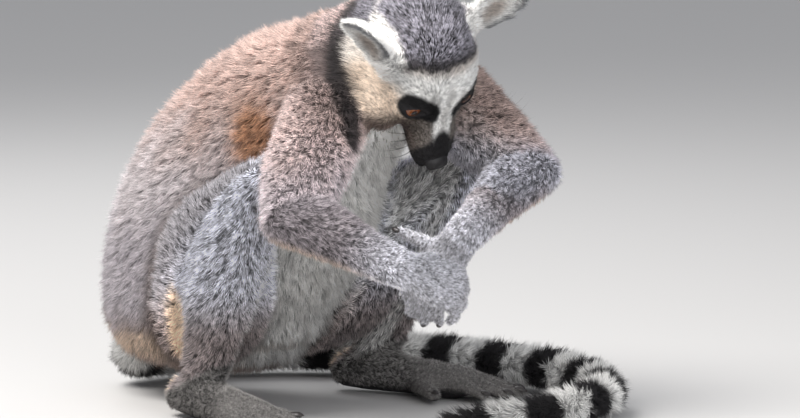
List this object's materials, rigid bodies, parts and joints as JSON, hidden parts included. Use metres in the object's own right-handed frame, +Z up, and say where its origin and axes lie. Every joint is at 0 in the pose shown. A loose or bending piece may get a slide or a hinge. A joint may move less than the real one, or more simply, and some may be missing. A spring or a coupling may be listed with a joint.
{
  "type": "ring-tailed lemur",
  "caption": "Adult ring-tailed lemur crouching with bowed head and both arms curved in front of its chest, tail curled on the floor, as a still life-size model.",
  "frame": {"origin": "centre of the bounding box, on the floor under the animal", "axes": "+X towards the animal's front, +Y to its left, +Z up"},
  "size_m": [0.3208, 0.2632, 0.2397],
  "materials": {
    "back_coat": "woolly coat, matte",
    "limb_coat": "short woolly coat, matte",
    "neck_coat": "dark coat, matte",
    "face_coat": "short white coat, matte",
    "hand_coat": "very short coat, matte",
    "tail_dark": "bushy coat, matte",
    "tail_light": "bushy coat, matte",
    "nose_leather": "moist skin, satin",
    "eyeball": "polished, gloss"
  },
  "bodies": {
    "root": {"trunk": "back_coat", "neck": "neck_coat", "head": "face_coat", "ear_left": "face_coat", "ear_right": "face_coat", "eye_left": "eyeball", "eye_right": "eyeball", "nose": "nose_leather", "upper_arm_left": "back_coat", "upper_arm_right": "back_coat", "forearm_left": "limb_coat", "forearm_right": "limb_coat", "hand_left": "hand_coat", "hand_right": "hand_coat", "thigh_left": "limb_coat", "thigh_right": "limb_coat", "shank_left": "limb_coat", "shank_right": "limb_coat", "foot_left": "hand_coat", "foot_right": "hand_coat", "tail_1": "tail_light", "tail_2": "tail_dark", "tail_3": "tail_light", "tail_4": "tail_dark", "tail_5": "tail_light", "tail_6": "tail_dark", "tail_7": "tail_light"}
  },
  "joints": []
}
